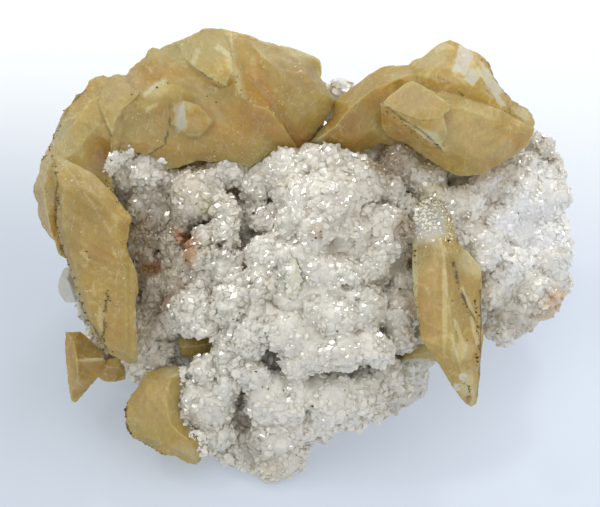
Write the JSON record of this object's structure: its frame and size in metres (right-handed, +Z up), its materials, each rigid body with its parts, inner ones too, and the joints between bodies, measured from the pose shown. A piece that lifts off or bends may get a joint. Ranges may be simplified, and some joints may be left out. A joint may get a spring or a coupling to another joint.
{
  "type": "dolomite specimen",
  "caption": "White drusy dolomite rock with honey calcite plates and blades grown on its leaning face, cut flat where it rests.",
  "frame": {"origin": "middle of the bounding box's underside, on the surface the specimen rests on", "axes": "+Z up; -Y towards the crystal-bearing face, which leans back; +X to the right as the face is seen"},
  "size_m": [0.1082, 0.0694, 0.0669],
  "materials": {
    "dolomite": "white drusy rock with a fine sparkle",
    "honey_calcite": "translucent, waxy to glassy",
    "pale_calcite": "translucent, glassy"
  },
  "bodies": {
    "root": {"dolomite_rock": "dolomite", "calcite_cluster_left": "honey_calcite", "calcite_cluster_right": "honey_calcite", "calcite_blade": "honey_calcite", "calcite_foot_plate": "honey_calcite", "calcite_tablet": "honey_calcite", "calcite_wedge": "honey_calcite", "crevice_crystal": "honey_calcite", "clear_crystal": "pale_calcite", "pale_crystal": "pale_calcite"}
  },
  "joints": []
}
